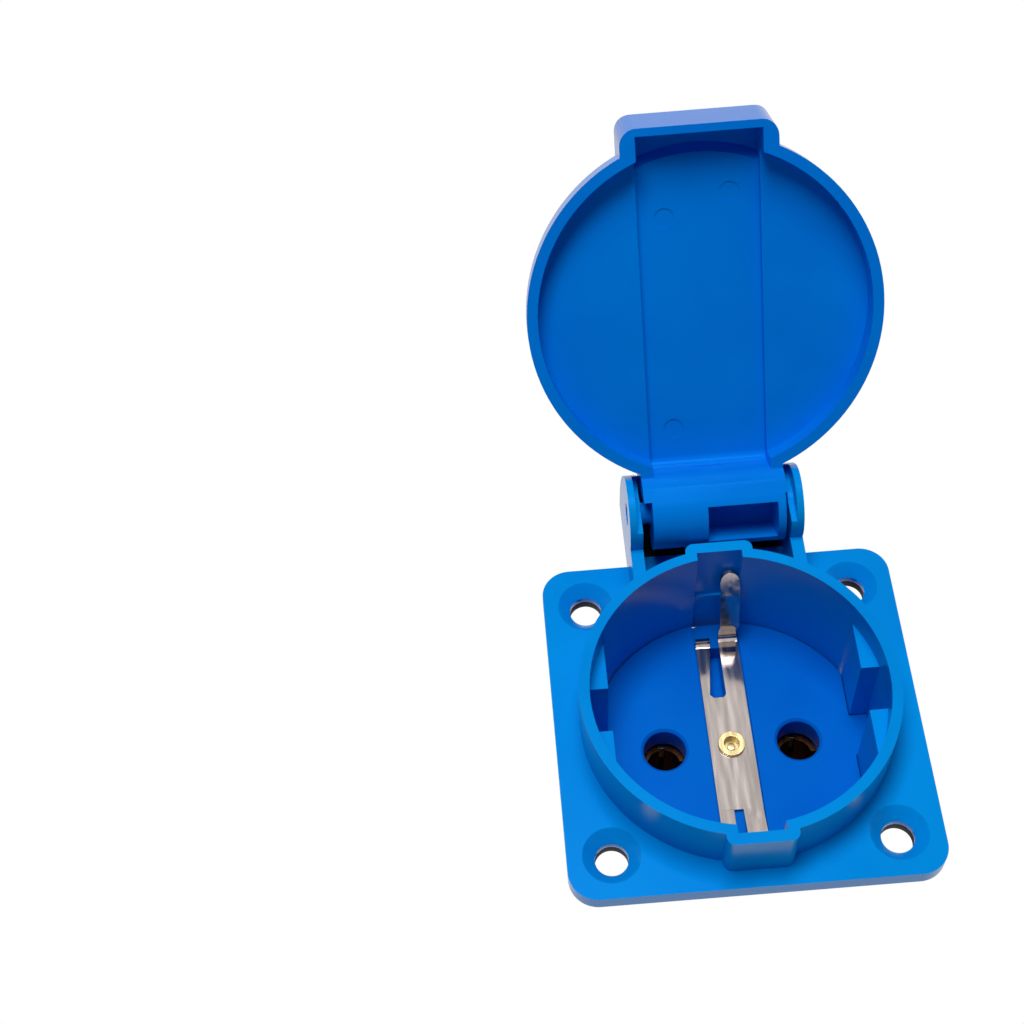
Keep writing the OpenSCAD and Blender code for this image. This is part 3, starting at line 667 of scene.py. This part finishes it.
def camera_matrix(settings):
    """Camera axes from azimuth, elevation and roll, looking towards the socket."""
    az, el, roll = settings.azimuth, settings.elevation, settings.roll
    ahead = Vector((math.sin(az) * math.cos(el), math.cos(az) * math.cos(el), -math.sin(el)))
    right = ahead.cross(Vector((0, 0, 1))).normalized()
    up = right.cross(ahead)
    turned_right = math.cos(roll) * right + math.sin(roll) * up
    turned_up = -math.sin(roll) * right + math.cos(roll) * up
    turn = Matrix((turned_right, turned_up, -ahead)).transposed()
    return Matrix.Translation(Vector(settings.place)) @ turn.to_4x4()


def area_light(name, place, size, power):
    """A rectangular lamp that faces the socket."""
    lamp = bpy.data.lights.new(name, "AREA")
    lamp.shape = "RECTANGLE"
    lamp.size, lamp.size_y = size
    lamp.energy = power
    obj = link(bpy.data.objects.new(name, lamp))
    obj.location = place
    obj.rotation_euler = (Vector(LAMP_TARGET) - Vector(place)).to_track_quat("-Z", "Y").to_euler()


def white_world(strength):
    """White to the camera and in reflections, a plain even light for everything else."""
    world = bpy.data.worlds.new("room")
    bpy.context.scene.world = world
    world.use_nodes = True
    tree = world.node_tree
    tree.nodes.clear()
    ray = add_node(tree, "ShaderNodeLightPath")
    seen = add_node(tree, "ShaderNodeMath", {"operation": "MAXIMUM"}, {
        0: ray.outputs["Is Camera Ray"], 1: ray.outputs["Is Transmission Ray"]})
    gloss = add_node(tree, "ShaderNodeMath", {"operation": "MAXIMUM"}, {
        0: seen.outputs[0], 1: ray.outputs["Is Glossy Ray"]})
    level = add_node(tree, "ShaderNodeMapRange", {}, {
        "Value": gloss.outputs[0], "To Min": strength, "To Max": 1.0})
    background = add_node(tree, "ShaderNodeBackground", {}, {
        "Color": WHITE, "Strength": level.outputs["Result"]})
    output = add_node(tree, "ShaderNodeOutputWorld")
    tree.links.new(background.outputs[0], output.inputs["Surface"])


def studio_floor_white(name):
    """Matt white studio floor: pure white to the camera and in reflections, plain matt for the rest."""
    material, tree, output = new_material(name)
    ray = add_node(tree, "ShaderNodeLightPath")
    diffuse = add_node(tree, "ShaderNodeBsdfDiffuse", {}, {"Color": (0.9, 0.9, 0.9, 1)})
    glow = add_node(tree, "ShaderNodeEmission", {}, {"Color": WHITE, "Strength": 1.0})
    seen = add_node(tree, "ShaderNodeMath", {"operation": "MAXIMUM"}, {
        0: ray.outputs["Is Camera Ray"], 1: ray.outputs["Is Glossy Ray"]})
    mix = add_node(tree, "ShaderNodeMixShader", {}, {
        0: seen.outputs[0], 1: diffuse.outputs[0], 2: glow.outputs[0]})
    finish_material(tree, output, mix)
    return material


class PSOCKET_OT_stage(bpy.types.Operator):
    """White floor, soft studio light and the camera"""
    bl_idname = "psocket.stage"
    bl_label = "Stage"

    def execute(self, context):
        settings = stage_settings()
        white_world(settings.world)
        bpy.ops.mesh.primitive_plane_add(size=4, location=(0, 0, CAD_BOX[0].z))
        floor = bpy.context.object
        floor.name = "floor"
        floor.data.materials.append(finish(studio_floor_white))
        area_light("key", KEY_PLACE, KEY_SIZE, settings.key_power)
        area_light("fill", FILL_PLACE, FILL_SIZE, settings.fill_power)
        camera = bpy.data.cameras.new("camera")
        camera.sensor_width = 36
        camera.lens = settings.lens
        camera.clip_start = 0.01
        obj = link(bpy.data.objects.new("camera", camera))
        obj.matrix_world = camera_matrix(settings)
        context.scene.camera = obj
        context.scene.view_settings.view_transform = "Standard"
        return {"FINISHED"}


# ---- Pieces ----

class PSOCKET_OT_housing(bpy.types.Operator):
    """The blue housing: flange, collar, guide blocks, ears and hood"""
    bl_idname = "psocket.housing"
    bl_label = "Housing"

    def execute(self, context):
        dress("housing", "housing_moulding", moulded_polyamide_blue, sizes().edge)
        return {"FINISHED"}


class PSOCKET_OT_lid(bpy.types.Operator):
    """The blue lid with its strap, tab and hinge barrel"""
    bl_idname = "psocket.lid"
    bl_label = "Lid"

    def execute(self, context):
        dress("lid", "lid_moulding", moulded_polyamide_lid_blue, sizes().edge, body=LID)
        return {"FINISHED"}


class PSOCKET_OT_carriers(bpy.types.Operator):
    """Gasket, contact insert and rear cover"""
    bl_idname = "psocket.carriers"
    bl_label = "Gasket, insert and rear cover"

    def execute(self, context):
        dress("panel_gasket", "gasket_sheet", sheet_rubber_black,
              sizes().gasket_edge)
        dress("socket_insert", "insert_moulding", moulded_polyamide_insert_blue,
              sizes().carrier_edge, shape=cut_slit)
        dress("rear_cover", "rear_cover_moulding", spark_eroded_polyamide_black,
              sizes().cover_edge)
        return {"FINISHED"}


class PSOCKET_OT_contacts(bpy.types.Operator):
    """Contacts, clips, clamps and screws of the two poles and of the earth"""
    bl_idname = "psocket.contacts"
    bl_label = "Contacts and terminals"

    def execute(self, context):
        size = sizes()
        tree = screw_tree()
        for pole in ("line", "neutral"):
            dress(pole + "_contact", pole + "_sleeve", oxidised_contact_brass, edge=0)
            dress(pole + "_spring", pole + "_clip", hardened_spring_strip,
                  size.metal_edge)
        for pole in ("line", "neutral", "earth"):
            dress(pole + "_clamp", pole + "_cage", bright_zinc_on_steel,
                  size.metal_edge)
            turned_screws(tree, pole + "_screw", pole + "_clamp_screw",
                          size.clamp_head, size.clamp_shank, size.clamp_pitch, cross=False)
        dress("earth_terminal", "earth_bracket", stamped_brass, size.metal_edge)
        for node in ("insert_screws", "cover_screws"):
            turned_screws(tree, node, node + "_finished",
                          size.small_head, size.small_shank, size.small_pitch, cross=True)
        return {"FINISHED"}


class PSOCKET_OT_earth(bpy.types.Operator):
    """The earth strip across the recess and its rivet"""
    bl_idname = "psocket.earth"
    bl_label = "Earth strip"

    def execute(self, context):
        # The strip's bends are slight, so smaller turns than elsewhere shade sharp.
        dress("earth_strip", "earth_spring_strip", nickel_plated_strip,
              sizes().metal_edge, shape=shape_strip, sharp_from=13)
        dress("earth_rivet", "tubular_rivet", drawn_rivet_brass,
              sizes().metal_edge, shape=close_bore)
        return {"FINISHED"}


OPERATORS = (PSOCKET_OT_stage, PSOCKET_OT_housing, PSOCKET_OT_lid, PSOCKET_OT_carriers,
             PSOCKET_OT_contacts, PSOCKET_OT_earth)
SETTINGS = {
    "psocket_stage": PSOCKET_PG_stage,
    "psocket_sizes": PSOCKET_PG_sizes,
    "psocket_colours": PSOCKET_PG_colours,
}


class PSOCKET_PT_panel(bpy.types.Panel):
    """Lists the settings, the stage and the pieces"""
    bl_label = "Panel socket"
    bl_space_type = "VIEW_3D"
    bl_region_type = "UI"
    bl_category = "Panel socket"

    def draw(self, context):
        for name in SETTINGS:
            group = getattr(context.scene, name)
            for key in group.__annotations__:
                self.layout.prop(group, key)
        for operator in OPERATORS:
            self.layout.operator(operator.bl_idname)


CLASSES = (*SETTINGS.values(), *OPERATORS, PSOCKET_PT_panel)


def register():
    for item in CLASSES:
        bpy.utils.register_class(item)
    for name, group in SETTINGS.items():
        setattr(bpy.types.Scene, name, bpy.props.PointerProperty(type=group))


def unregister():
    for name in SETTINGS:
        delattr(bpy.types.Scene, name)
    for item in reversed(CLASSES):
        bpy.utils.unregister_class(item)


def main():
    register()
    for operator in OPERATORS:
        group, name = operator.bl_idname.split(".")
        getattr(getattr(bpy.ops, group), name)()


if __name__ == "__main__":
    main()
